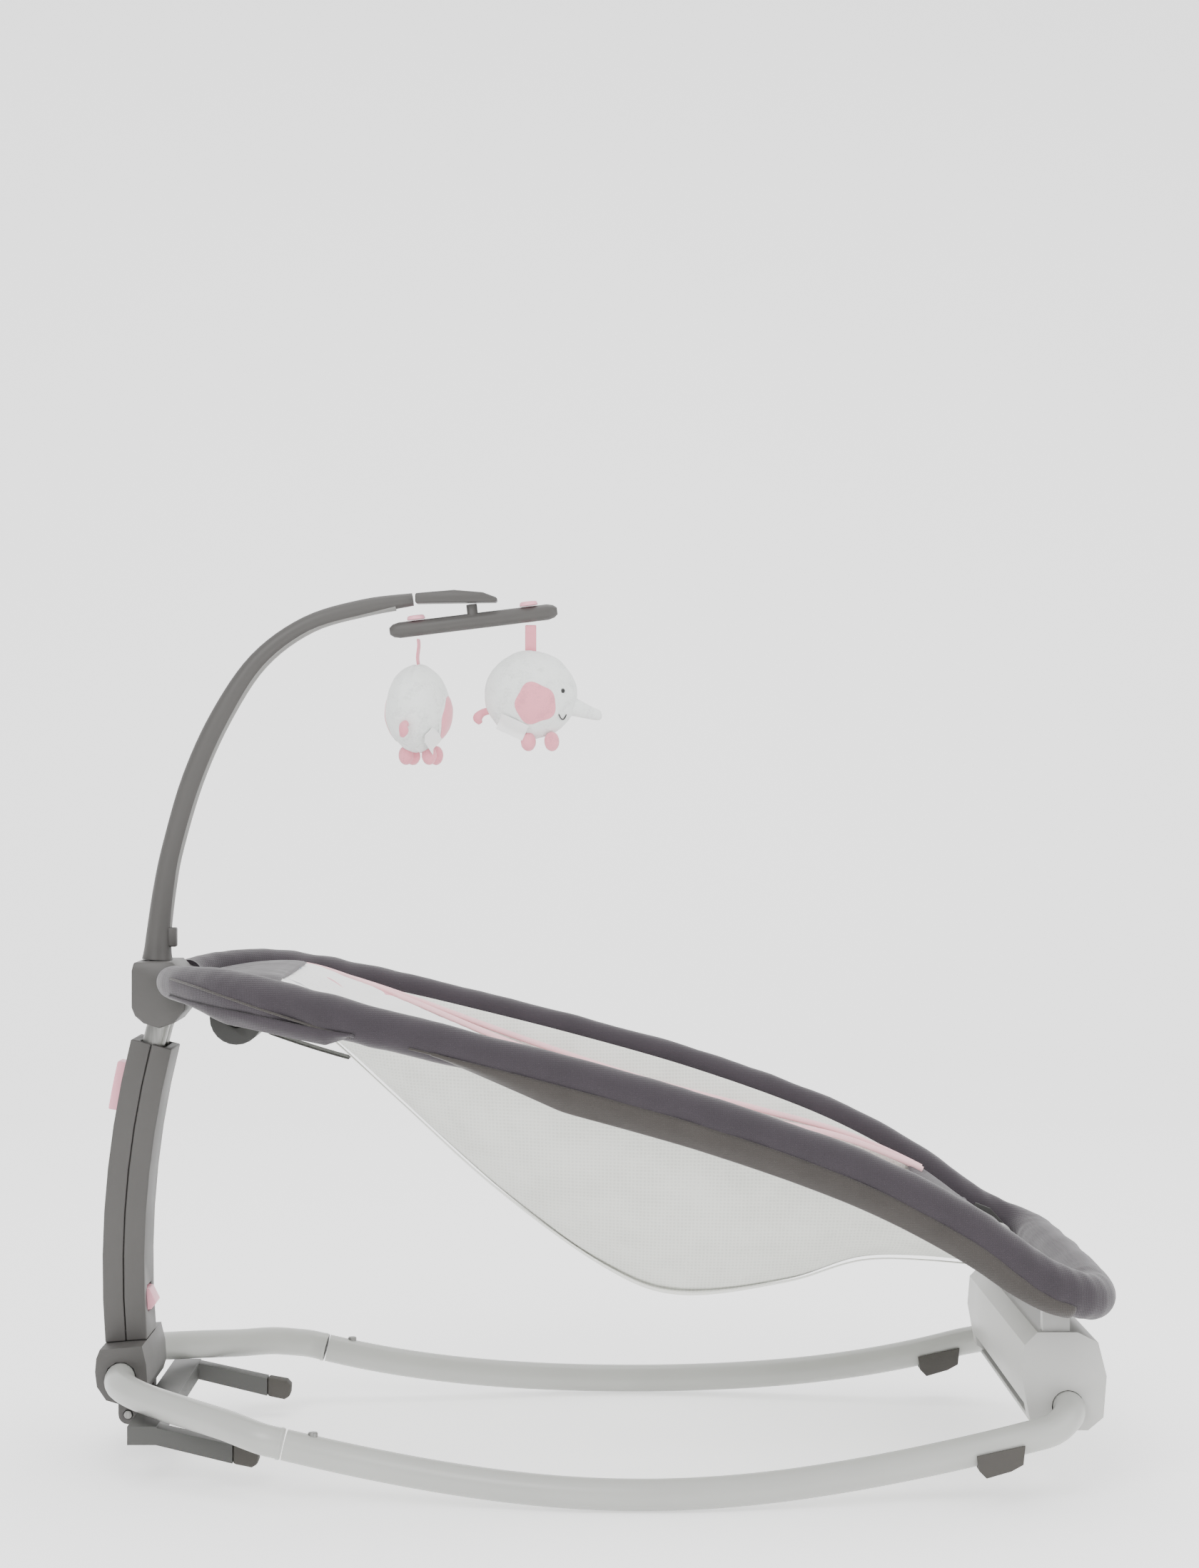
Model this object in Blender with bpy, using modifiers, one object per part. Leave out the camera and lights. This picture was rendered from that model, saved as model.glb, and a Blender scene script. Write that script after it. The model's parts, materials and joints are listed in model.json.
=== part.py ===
"""Baby rocker seat: a reclining mesh seat on curved rocker tubes, with a toy arch.

Metres, +Z up.  +X points to the foot end, -Y is the right-hand side, and the
origin is under the middle of the object, on the surface it stands on.
"""
import bpy
import bmesh
from math import cos, sin, pi, radians, sqrt
from mathutils import Matrix, Vector

# ---------------------------------------------------------------- dimensions
GAP = 0.0003            # clearance left between touching pieces
CENTRE_X = 0.00975      # every piece is moved by this at the end, so the origin is under the box's middle
WALL = 0.0016           # wall of the bent metal tubes

ROCKER_R = 1.17         # radius of the rockers, seen from the side
ROCKER_TUBE = 0.012     # tube radius
ROCKER_REST = ROCKER_TUBE * cos(pi / 10)  # height of its middle over the floor: a flat facet is lowest
ROCKER_LOW_X = 0.025    # where the rockers touch the floor
ROCKER_BOW_Y = 0.217    # half track at the lowest point
ROCKER_JOINT_X = -0.248  # where front and rear tubes meet
ROCKER_JOINT_Y = 0.192
SOCKET_Y = 0.172        # tube ends, inside the castings

PIVOT_X = 0.348         # seat pivot, near the foot end
PIVOT_Z = 0.1515
RECLINE_R = 0.7445      # the leg is an arc round the seat pivot
LEG_HALF = 0.0172       # half thickness of the leg, seen from the side
LEG_WIDE = 0.027        # half width of the leg, seen from behind
LEG_LOW = -4.6          # degrees of arc, from straight back upwards
LEG_TOP = 14.3
INNER_LOW = 0.5
INNER_TOP = 16.9
INNER_TUBE = 0.0095     # radius of a telescoping tube
INNER_Y = 0.0125        # the two telescoping tubes stand side by side
CHANNEL = 0.0103        # half thickness of the hollow that they slide in
CHANNEL_WIDE = 0.0232

FOOT_WIDE = 0.055       # half width of the casting under the leg
FOLD_X = -0.3885        # kickstand hinge
FOLD_Z = 0.0370
FOLD_LUG = (0.0360, 0.0520)  # the hinge lugs on the casting, from inside to outside
STAND_Y = 0.127         # middle plane of a kickstand leg
STAND_HALF = 0.0085

RAIL = 0.010            # radius of the seat rail tube
RAIL_PATH = [           # a side rail, from the head hub to the nose corner (y is the half width)
    (-0.3530, 0.0345, 0.3880), (-0.3515, 0.0580, 0.3885), (-0.3430, 0.0850, 0.3890),
    (-0.3270, 0.1110, 0.3885), (-0.3040, 0.1370, 0.3870), (-0.2770, 0.1590, 0.3835),
    (-0.2460, 0.1770, 0.3780), (-0.1950, 0.1940, 0.3675), (-0.137, 0.202, 0.354),
    (-0.0285, 0.207, 0.3265), (0.080, 0.207, 0.2955), (0.189, 0.204, 0.256),
    (0.270, 0.201, 0.214), (0.324, 0.195, 0.175), (0.348, 0.190, 0.162),
    (0.367, 0.178, 0.155), (0.377, 0.155, 0.152), (0.379, 0.115, 0.152)]
PAD_R = 0.0165          # outer radius of the padded cover on the rail
PAD_BORE = 0.0114       # inner radius of that cover

HUB_HALF = 0.0340       # half width of the head casting

SEAT_PROFILE = [        # lowest line of the hanging seat, x and z
    (-0.316, 0.397), (-0.262, 0.388), (-0.224, 0.352), (-0.168, 0.293), (-0.087, 0.217),
    (0.000, 0.152), (0.060, 0.130), (0.145, 0.142), (0.215, 0.163), (0.318, 0.160)]

ARCH_PATH = [           # middle line of the toy arch, and its radius
    (-0.3723, 0.0, 0.4043, 0.0118), (-0.3708, 0.0, 0.4296, 0.0102), (-0.3666, 0.0, 0.4621, 0.0092),
    (-0.3600, 0.0, 0.4960, 0.0086), (-0.3435, 0.0, 0.5524, 0.0088), (-0.3202, 0.0, 0.6043, 0.0086),
    (-0.2891, 0.0, 0.6510, 0.0076), (-0.2482, 0.0, 0.6812, 0.0070), (-0.2008, 0.0, 0.6954, 0.0070),
    (-0.1602, 0.0, 0.7020, 0.0052)]
SPIN_X = -0.110         # middle of the toy bar, on its swivel
SPIN_Z = 0.6840
BAR_HALF = 0.070
BAR_R = 0.0068
BAR_TILT = radians(7.0)
TOY_REACH = 0.047       # from the swivel to each toy

SIDES = (("right", -1.0), ("left", 1.0))


# ------------------------------------------------------------ small toolbox
for old in list(bpy.data.objects):
    bpy.data.objects.remove(old, do_unlink=True)

parts = bpy.data.collections.new("baby_rocker")
cutters = bpy.data.collections.new("cutters")
bpy.context.scene.collection.children.link(parts)
bpy.context.scene.collection.children.link(cutters)


def finish(name, colour, roughness, metallic=0.0):
    material = bpy.data.materials.new(name)
    material.use_nodes = True
    shader = material.node_tree.nodes["Principled BSDF"]
    shader.inputs["Base Color"].default_value = (*colour, 1.0)
    shader.inputs["Roughness"].default_value = roughness
    shader.inputs["Metallic"].default_value = metallic
    return material


TUBE_WHITE = finish("tube_white", (0.60, 0.61, 0.59), 0.35)
SHELL_WHITE = finish("shell_white", (0.75, 0.76, 0.74), 0.40)
LEG_GREY = finish("leg_grey", (0.16, 0.155, 0.15), 0.45)
STEEL = finish("steel", (0.22, 0.22, 0.21), 0.30, 1.0)
RUBBER = finish("rubber", (0.09, 0.085, 0.075), 0.80)
STAND_GREY = finish("stand_grey", (0.13, 0.13, 0.125), 0.50)
PINK = finish("button_pink", (0.83, 0.46, 0.51), 0.40)
BLACK = finish("black_plastic", (0.02, 0.02, 0.018), 0.50)
RAIL_CLOTH = finish("rail_cloth", (0.10, 0.082, 0.10), 0.90)
MESH_CLOTH = finish("mesh_cloth", (0.73, 0.74, 0.69), 0.90)
LINER_CLOTH = finish("liner_cloth", (0.80, 0.80, 0.79), 0.90)
WEBBING = finish("webbing", (0.05, 0.05, 0.05), 0.85)
PLUSH = finish("plush", (0.75, 0.79, 0.77), 1.0)


def link(name, mesh, material):
    mesh.name = name
    mesh.materials.clear()
    mesh.materials.append(material)
    item = bpy.data.objects.new(name, mesh)
    parts.objects.link(item)
    return item


def smooth_path(points, steps):
    """Points along a Catmull-Rom curve through the given ones."""
    ends = [points[0]] + list(points) + [points[-1]]
    path = []
    for i in range(1, len(ends) - 2):
        for k in range(steps):
            t = k / steps
            row = []
            for a, b, c, d in zip(*ends[i - 1:i + 3]):
                row.append(0.5 * (2 * b + (c - a) * t + (2 * a - 5 * b + 4 * c - d) * t ** 2
                                  + (3 * b - a - 3 * c + d) * t ** 3))
            path.append(tuple(row))
    path.append(tuple(points[-1]))
    return path


def curve_to_mesh(curve_object):
    """The evaluated curve as a mesh with its caps welded on."""
    graph = bpy.context.evaluated_depsgraph_get()
    mesh = bpy.data.meshes.new_from_object(curve_object.evaluated_get(graph))
    place = curve_object.matrix_world.copy()
    bpy.data.objects.remove(curve_object, do_unlink=True)
    work = bmesh.new()
    work.from_mesh(mesh)
    bmesh.ops.remove_doubles(work, verts=work.verts, dist=0.00005)
    bmesh.ops.transform(work, matrix=place, verts=work.verts)
    bmesh.ops.recalc_face_normals(work, faces=work.faces)
    work.to_mesh(mesh)
    work.free()
    return mesh


def tube(name, points, radius, material, resolution=3, caps=True, radii=None):
    """A round bar along a list of points."""
    curve = bpy.data.curves.new(name, "CURVE")
    curve.dimensions = "3D"
    curve.bevel_depth = radius
    curve.bevel_resolution = resolution
    curve.use_fill_caps = caps
    spline = curve.splines.new("POLY")
    spline.points.add(len(points) - 1)
    for index, (spot, point) in enumerate(zip(spline.points, points)):
        spot.co = (*point[:3], 1.0)
        spot.radius = radii[index] / radius if radii else 1.0
    guide = bpy.data.objects.new(name, curve)
    parts.objects.link(guide)
    bpy.context.view_layer.update()
    return link(name, curve_to_mesh(guide), material)


def pipe(name, points, radius, wall, material, resolution=3):
    """A hollow tube, open at both ends."""
    item = tube(name, points, radius, material, resolution, caps=False)
    solidify = item.modifiers.new("wall", "SOLIDIFY")
    solidify.thickness = wall
    solidify.offset = -1.0
    solidify.use_even_offset = True
    return item


def plate(name, outline, y_low, y_high, material, bevel=0.0):
    """A flat outline in X and Z, thickened along Y."""
    curve = bpy.data.curves.new(name, "CURVE")
    curve.dimensions = "2D"
    curve.fill_mode = "BOTH"
    curve.extrude = (y_high - y_low) / 2
    spline = curve.splines.new("POLY")
    spline.points.add(len(outline) - 1)
    for spot, (x, z) in zip(spline.points, outline):
        spot.co = (x, z, 0.0, 1.0)
    spline.use_cyclic_u = True
    guide = bpy.data.objects.new(name, curve)
    guide.rotation_euler = (pi / 2, 0.0, 0.0)
    guide.location = (0.0, (y_low + y_high) / 2, 0.0)
    parts.objects.link(guide)
    bpy.context.view_layer.update()
    item = link(name, curve_to_mesh(guide), material)
    if bevel:
        round_edges(item, bevel)
    return item


def round_edges(item, width, segments=2):
    bevel = item.modifiers.new("round", "BEVEL")
    bevel.width = width
    bevel.segments = segments
    bevel.limit_method = "ANGLE"
    bevel.angle_limit = radians(50)
    bevel.use_clamp_overlap = True
    return item


def block(name, low, high, material, bevel=0.0):
    work = bmesh.new()
    bmesh.ops.create_cube(work, size=1.0)
    size = [b - a for a, b in zip(low, high)]
    middle = [(a + b) / 2 for a, b in zip(low, high)]
    place = Matrix.Translation(middle) @ Matrix.Diagonal((*size, 1.0))
    bmesh.ops.transform(work, matrix=place, verts=work.verts)
    mesh = bpy.data.meshes.new(name)
    work.to_mesh(mesh)
    work.free()
    item = link(name, mesh, material)
    if bevel:
        round_edges(item, bevel)
    return item


def rod(name, start, end, radius, material, sides=16, end_radius=None):
    """A cylinder, or a cone, from one point to another."""
    start, end = Vector(start), Vector(end)
    run = end - start
    work = bmesh.new()
    top = radius if end_radius is None else end_radius
    bmesh.ops.create_cone(work, cap_ends=True, segments=sides, radius1=radius, radius2=top,
                          depth=run.length)
    turn = Vector((0.0, 0.0, 1.0)).rotation_difference(run).to_matrix().to_4x4()
    bmesh.ops.transform(work, matrix=Matrix.Translation((start + end) / 2) @ turn, verts=work.verts)
    mesh = bpy.data.meshes.new(name)
    work.to_mesh(mesh)
    work.free()
    return link(name, mesh, material)


def boolean(item, tool, operation="DIFFERENCE"):
    """Cut a piece with a tool, or join them, with the exact solver."""
    parts.objects.unlink(tool)
    cutters.objects.link(tool)
    tool.hide_render = True
    tool.display_type = "WIRE"
    step = item.modifiers.new("cut", "BOOLEAN")
    step.operation = operation
    step.solver = "EXACT"
    step.object = tool
    return item


def on_arc(degrees, radius=RECLINE_R):
    """A point on an arc round the seat pivot; 0 degrees is straight back."""
    return (PIVOT_X - radius * cos(radians(degrees)), PIVOT_Z + radius * sin(radians(degrees)))


def arc_band(name, inner, outer, low, high, y_low, y_high, material, steps=7, bevel=0.0):
    """A curved bar of rectangular section, round the seat pivot."""
    angles = [low + (high - low) * i / steps for i in range(steps + 1)]
    outline = [on_arc(a, outer) for a in angles] + [on_arc(a, inner) for a in reversed(angles)]
    return plate(name, outline, min(y_low, y_high), max(y_low, y_high), material, bevel)


def disc_outline(x, z, radius, start=0.0, end=360.0, steps=16):
    return [(x + radius * cos(radians(start + (end - start) * i / steps)),
             z + radius * sin(radians(start + (end - start) * i / steps))) for i in range(steps + 1)]


# ------------------------------------------------------------------- rockers
def rocker_point(x, side):
    reach = min(1.0, abs((x - ROCKER_LOW_X) / (ROCKER_JOINT_X - ROCKER_LOW_X)))
    y = ROCKER_JOINT_Y + (ROCKER_BOW_Y - ROCKER_JOINT_Y) * cos(reach * pi / 2) ** 2
    z = ROCKER_REST + ROCKER_R - sqrt(ROCKER_R ** 2 - (x - ROCKER_LOW_X) ** 2)
    return (x, side * y, z)


def rear_tube_points(side, inner_end):
    """From the socket in the casting under the leg, out to the side and forward to the joint."""
    route = [(-0.3945, inner_end, 0.0672), (-0.3940, 0.0620, 0.0671), (-0.3915, 0.0755, 0.0665),
             (-0.3850, 0.0890, 0.0652), (-0.3705, 0.1065, 0.0628), (-0.3480, 0.1270, 0.0600),
             (-0.3220, 0.1475, 0.0570), (-0.2950, 0.1710, 0.0545), (-0.2740, 0.1860, 0.0503),
             (-0.2620, ROCKER_JOINT_Y, 0.0477), (ROCKER_JOINT_X - GAP * 2, ROCKER_JOINT_Y, 0.0443)]
    return [(x, side * y, z) for x, y, z in route]


def make_rockers(label, side):
    steps = 13
    reach = 0.318 - ROCKER_JOINT_X
    front = [rocker_point(ROCKER_JOINT_X + GAP + reach * i / steps, side) for i in range(steps + 1)]
    elbow = [(0.338, side * 0.1885, 0.0545), (0.351, side * 0.182, 0.0620),
             (0.3555, side * 0.174, 0.0660), (0.3565, side * (SOCKET_Y - 0.016), 0.0665)]
    front_tube = pipe("rocker_tube_" + label, front + elbow, ROCKER_TUBE, WALL, TUBE_WHITE)
    pipe("rocker_rear_tube_" + label, rear_tube_points(side, FOOT_WIDE - 0.012), ROCKER_TUBE,
         WALL, TUBE_WHITE)
    x, y, z = rocker_point(-0.2256, side)
    top = z + ROCKER_TUBE
    hole = rod("snap_hole_" + label, (x, y, z), (x, y, top + 0.01), 0.0042, STEEL)
    boolean(front_tube, hole)
    rod("snap_button_" + label, (x, y, top - 0.0045), (x, y, top + 0.0035), 0.0038, STEEL, 12)


def make_front_pad(label, side):
    """A rubber block strapped under the rocker, with a flat sole."""
    y = rocker_point(0.298, side)[1]
    outline = [(0.2795, 0.0385), (0.2815, 0.0270), (0.2870, 0.0215), (0.3060, 0.0270),
               (0.3150, 0.0320), (0.3165, 0.0465)]
    pad = plate("front_pad_" + label, outline, y - 0.0145, y + 0.0145, RUBBER)
    path = [rocker_point(0.262 + 0.018 * i, side) for i in range(5)]
    boolean(pad, tube("pad_groove_" + label, path, ROCKER_TUBE + 0.0011, RUBBER, 3))


# ------------------------------------------------------------ front housing
HOUSE_Y = 0.1600        # half width of the housing
EAR_Y = (0.1440, 0.1570)   # a pivot ear, from inside to outside


def make_front_housing():
    """A moulded cross member: it holds the tube ends and the seat pivots."""
    outline = [(0.3210, 0.0900), (0.3270, 0.0560), (0.3400, 0.0480), (0.3720, 0.0480),
               (0.3840, 0.0580), (0.3865, 0.0900), (0.3800, 0.1160), (0.3640, 0.1240),
               (0.3330, 0.1240), (0.3230, 0.1140)]
    housing = plate("front_housing", outline, -HOUSE_Y, HOUSE_Y, SHELL_WHITE)
    for label, side in SIDES:
        ear = [(0.3375, 0.1200), (0.3585, 0.1200)] + disc_outline(PIVOT_X, PIVOT_Z, 0.0105, 0, 180, 8)
        low, high = sorted((side * EAR_Y[0], side * (EAR_Y[1] - 0.001)))
        boolean(housing, plate("ear_" + label, ear, low, high, SHELL_WHITE), "UNION")
    pocket = [(0.3245, 0.0400), (0.3800, 0.0400), (0.3810, 0.0900), (0.3760, 0.1120),
              (0.3620, 0.1205), (0.3350, 0.1205), (0.3270, 0.1120)]
    boolean(housing, plate("housing_hollow", pocket, -0.140, 0.140, SHELL_WHITE))
    for label, side in SIDES:
        socket = rod("socket_" + label, (0.3565, side * 0.152, 0.0665), (0.3565, side * 0.20, 0.0665),
                     ROCKER_TUBE + 0.0006, STEEL, 20)
        boolean(housing, socket)
        hole = rod("pivot_hole_" + label, (PIVOT_X, side * 0.13, PIVOT_Z),
                   (PIVOT_X, side * 0.19, PIVOT_Z), 0.0054, STEEL)
        boolean(housing, hole)
    block("housing_cover", (0.3300, -0.1390, 0.0500), (0.3775, 0.1390, 0.0530), SHELL_WHITE, 0.0008)


# ----------------------------------------------------------------- rear leg
def make_leg():
    """One wide leg in two shells, with two push buttons and the telescoping tubes inside."""
    outer, inner = RECLINE_R + LEG_HALF, RECLINE_R - LEG_HALF
    front = arc_band("leg_front_shell", inner, RECLINE_R - GAP, LEG_LOW, LEG_TOP, -LEG_WIDE, LEG_WIDE,
                     LEG_GREY)
    rear = arc_band("leg_rear_shell", RECLINE_R + GAP, outer, LEG_LOW, LEG_TOP, -LEG_WIDE, LEG_WIDE,
                    LEG_GREY)
    boolean(front, arc_band("front_channel", RECLINE_R - CHANNEL, RECLINE_R + 0.01, LEG_LOW - 1,
                            LEG_TOP + 1, -CHANNEL_WIDE, CHANNEL_WIDE, STEEL, 9))
    boolean(rear, arc_band("rear_channel", RECLINE_R - 0.01, RECLINE_R + CHANNEL, LEG_LOW - 1,
                           LEG_TOP + 1, -CHANNEL_WIDE, CHANNEL_WIDE, STEEL, 9))
    # the two push buttons stand in windows in the outer walls
    button, window = 0.0120, 0.0125
    boolean(rear, arc_band("height_window", RECLINE_R + 0.008, outer + 0.01, 9.5, 12.8, -window, window,
                           STEEL, 1))
    boolean(front, arc_band("fold_window", inner - 0.01, RECLINE_R - 0.008, -3.05, -1.35, -window, window,
                            STEEL, 1))
    arc_band("height_button", outer - 0.0022, outer + 0.0085, 9.65, 12.65, -button, button, PINK, 3, 0.0012)
    wedge = [on_arc(-2.95, inner + 0.004), on_arc(-1.45, inner + 0.004), on_arc(-1.55, inner - 0.002),
             on_arc(-2.45, inner - 0.0070), on_arc(-2.85, inner - 0.0030)]
    plate("fold_button", wedge, -button, button, PINK, 0.0008)
    for label, side in SIDES:
        path = []
        for i in range(9):
            x, z = on_arc(INNER_LOW + (INNER_TOP - INNER_LOW) * i / 8)
            path.append((x, side * INNER_Y, z))
        pipe("inner_tube_" + label, path, INNER_TUBE, WALL, STEEL, 4)


def make_leg_foot():
    """The casting under the leg: a tube socket on each side, and the kickstand hinge below."""
    top = [on_arc(LEG_LOW - 0.03, RECLINE_R + LEG_HALF), on_arc(LEG_LOW - 0.03, RECLINE_R - LEG_HALF)]
    outline = top + [(-0.3735, 0.0780), (-0.3725, 0.0620), (-0.3750, 0.0535), (-0.3830, 0.0460),
                     (-0.3940, 0.0455), (-0.4060, 0.0490), (-0.4135, 0.0600), (-0.4150, 0.0720),
                     (-0.4140, 0.0830)]
    foot = plate("leg_foot", outline, -FOOT_WIDE, FOOT_WIDE, LEG_GREY)
    for label, side in SIDES:
        low, high = sorted((side * FOLD_LUG[0], side * FOLD_LUG[1]))
        lug = [(FOLD_X + 0.0080, 0.0500), (FOLD_X - 0.0080, 0.0500)]
        lug += disc_outline(FOLD_X, FOLD_Z, 0.0080, 180, 360, 8)
        boolean(foot, plate("hinge_lug_" + label, lug, low, high, LEG_GREY), "UNION")
        boolean(foot, tube("foot_socket_" + label, rear_tube_points(side, FOOT_WIDE - 0.0125),
                           ROCKER_TUBE + 0.0011, STEEL))
    boolean(foot, rod("hinge_hole", (FOLD_X, -0.06, FOLD_Z), (FOLD_X, 0.06, FOLD_Z), 0.0039, STEEL))
    rod("kickstand_pin", (FOLD_X, -0.0535, FOLD_Z), (FOLD_X, 0.0535, FOLD_Z), 0.0035, STEEL, 14)


# ---------------------------------------------------------------- kickstand
def make_kickstand():
    """A wide bar with two legs, folded forward under the rear tubes."""
    end = STAND_Y + STAND_HALF
    bar = block("kickstand_frame", (-0.3765, -end, 0.0310), (-0.3535, end, 0.0455), STAND_GREY)
    knuckle = [(-0.3700, 0.0320), (-0.3700, 0.0425)] + disc_outline(FOLD_X, FOLD_Z, 0.0068, 90, 270, 8)
    boolean(bar, plate("knuckle", knuckle, -FOLD_LUG[0] + 0.0005, FOLD_LUG[0] - 0.0005, STAND_GREY), "UNION")
    boolean(bar, rod("stand_hole", (FOLD_X, -0.05, FOLD_Z), (FOLD_X, 0.05, FOLD_Z), 0.0039, STEEL))
    tip_x, tip_z = -0.2940, 0.0240
    for label, side in SIDES:
        leg = [(-0.3560, 0.0315), (tip_x, tip_z - 0.0075), (tip_x, tip_z + 0.0075), (-0.3560, 0.0450)]
        low, high = sorted((side * (STAND_Y - STAND_HALF), side * end))
        boolean(bar, plate("stand_leg_" + label, leg, low, high, STAND_GREY), "UNION")
        tip = [(tip_x + GAP, tip_z - 0.0080), (tip_x + 0.0150, tip_z - 0.0110),
               (tip_x + 0.0200, tip_z - 0.0080), (tip_x + 0.0205, tip_z + 0.0010),
               (tip_x + 0.0170, tip_z + 0.0050), (tip_x + GAP, tip_z + 0.0080)]
        plate("kickstand_tip_" + label, tip, low, high, RUBBER, 0.002)


# ---------------------------------------------------------------- seat frame
def make_hub():
    """The head casting: it joins the telescoping tubes, the seat rail and the arch."""
    outline = [(-0.3869, 0.4030), (-0.3888, 0.3960), (-0.3888, 0.3660), (-0.3860, 0.3590),
               (-0.3790, 0.3530), (-0.3660, 0.3490), (-0.3540, 0.3530), (-0.3450, 0.3640),
               (-0.3450, 0.3930), (-0.3550, 0.4030)]
    hub = plate("head_hub", outline, -HUB_HALF, HUB_HALF, LEG_GREY, 0.0015)
    for label, side in SIDES:
        bore = []
        for degrees in (14.0, 15.0, 16.0, INNER_TOP + 0.05):
            x, z = on_arc(degrees)
            bore.append((x, side * INNER_Y, z))
        boolean(hub, tube("hub_bore_" + label, bore, INNER_TUBE + 0.0006, STEEL, 4))
    boolean(hub, block("arch_pocket", (-0.3794, -0.0074, 0.3780), (-0.3646, 0.0074, 0.4300), STEEL))


def on_side(points, side):
    return [(x, side * y, z) for x, y, z in points]


def make_rail(label, side):
    path = on_side(smooth_path(RAIL_PATH, 2), side)
    pipe("seat_rail_" + label, path, RAIL, WALL, STEEL, 2)
    cover = on_side([p for p in smooth_path(RAIL_PATH, 2)[1:-1]], side)
    pipe("rail_pad_" + label, cover, PAD_R, PAD_R - PAD_BORE, RAIL_CLOTH, 3)
    outline = [(0.3220, 0.1700), (0.3360, 0.1440)] + disc_outline(PIVOT_X, PIVOT_Z, 0.0105, -100, 60, 8)
    outline += [(0.3410, 0.1740), (0.3280, 0.1790)]
    low, high = sorted((side * 0.1574, side * 0.1606))
    bracket = plate("pivot_bracket_" + label, outline, low, high, BLACK)
    boolean(bracket, rod("bracket_hole_" + label, (PIVOT_X, side * 0.15, PIVOT_Z),
                         (PIVOT_X, side * 0.18, PIVOT_Z), 0.0054, STEEL))
    rod("seat_pivot_pin_" + label, (PIVOT_X, side * 0.1415, PIVOT_Z), (PIVOT_X, side * 0.1645, PIVOT_Z),
        0.0050, STEEL, 14)


def make_foot_tube():
    nose_x, nose_y, nose_z = RAIL_PATH[-1]
    nose = [(nose_x, -nose_y + GAP, nose_z), (nose_x, 0.0, nose_z), (nose_x, nose_y - GAP, nose_z)]
    pipe("seat_foot_tube", nose, RAIL, WALL, STEEL, 2)
    pipe("foot_pad", nose, PAD_R, PAD_R - PAD_BORE, RAIL_CLOTH, 3)


# ------------------------------------------------------------- seat soft goods
def along(table, x):
    """Height of a smooth line through a table of x and z."""
    path = smooth_path(table, 6)
    for (xa, za), (xb, zb) in zip(path, path[1:]):
        if x <= xb:
            return za + (zb - za) * max(0.0, (x - xa) / (xb - xa))
    return path[-1][1]


def seat_point(x, across, lift=0.0):
    """A point on the hanging seat; across runs from -1 to 1 between the rails."""
    centre = along(SEAT_PROFILE, x)
    sides = [point for point in RAIL_PATH if point[0] < 0.330]
    outline = [(p[0], p[1]) for p in sides]
    rail_y = along(outline, x)
    rail_z = along([(p[0], p[2]) for p in sides], x)
    slope = (along(outline, x + 0.003) - along(outline, x - 0.003)) / 0.006
    half = rail_y - (PAD_R + 0.003) * sqrt(1.0 + slope ** 2)
    return (x, across * half, centre + (rail_z - centre) * abs(across) ** 2.4 + lift)


def seat_sheet(name, x_span, y_span, cells, lift, thickness, material):
    """A piece of cloth that lies along the seat's own curve."""
    work = bmesh.new()
    bmesh.ops.create_grid(work, x_segments=cells[0], y_segments=cells[1], size=0.5)
    for vert in work.verts:
        x = x_span[0] + (x_span[1] - x_span[0]) * (vert.co.x + 0.5)
        across = y_span[0] + (y_span[1] - y_span[0]) * (vert.co.y + 0.5)
        vert.co = seat_point(x, across, lift)
    mesh = bpy.data.meshes.new(name)
    work.to_mesh(mesh)
    work.free()
    item = link(name, mesh, material)
    solidify = item.modifiers.new("thickness", "SOLIDIFY")
    solidify.thickness = thickness
    solidify.offset = 1.0
    return item


def make_soft_goods():
    seat_sheet("seat_hammock", (-0.316, 0.318), (-1.0, 1.0), (22, 12), 0.0, 0.0025, MESH_CLOTH)
    seat_sheet("seat_liner", (-0.300, 0.285), (-0.80, 0.80), (22, 10), 0.0095, 0.0100, LINER_CLOTH)
    seat_sheet("crotch_strap", (0.104, 0.165), (-0.10, 0.10), (4, 1), 0.0260, 0.0020, WEBBING)
    seat_sheet("waist_strap_right", (0.060, 0.090), (-0.62, -0.15), (1, 8), 0.0300, 0.0020, WEBBING)
    seat_sheet("waist_strap_left", (0.060, 0.090), (0.15, 0.62), (1, 8), 0.0300, 0.0020, WEBBING)
    x, y, z = seat_point(0.075, 0.0, 0.035)
    block("harness_buckle", (x - 0.030, -0.024, z - 0.006), (x + 0.026, 0.024, z + 0.008), BLACK, 0.003)


def make_vibration_unit():
    """A round battery unit on an arm from the head casting, with a switch and a door."""
    x, z, radius, half = -0.304, 0.3565, 0.0220, 0.0250
    unit = rod("vibration_unit", (x, -half, z), (x, half, z), radius, BLACK, 24)
    arm = [(-0.3080, 0.3680), (-0.3180, 0.3560), (-0.3447, 0.3700), (-0.3447, 0.3830), (-0.3300, 0.3830)]
    boolean(unit, plate("unit_arm", arm, -0.015, 0.015, BLACK), "UNION")
    boolean(unit, rod("switch_pocket", (x, -half - 0.01, z), (x, -half + 0.0045, z), 0.0074, STEEL, 16))
    rod("power_button", (x, -half - 0.0015, z), (x, -half + 0.0025, z), 0.0070, LEG_GREY, 16)
    rod("battery_door", (x, half + GAP, z), (x, half + 0.0035, z), 0.0195, BLACK, 20, 0.0180)
    strap = [(-0.2795, 0.3440), (-0.2120, 0.3225), (-0.2120, 0.3210), (-0.2800, 0.3425)]
    plate("unit_strap", strap, -0.012, 0.012, WEBBING)


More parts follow.
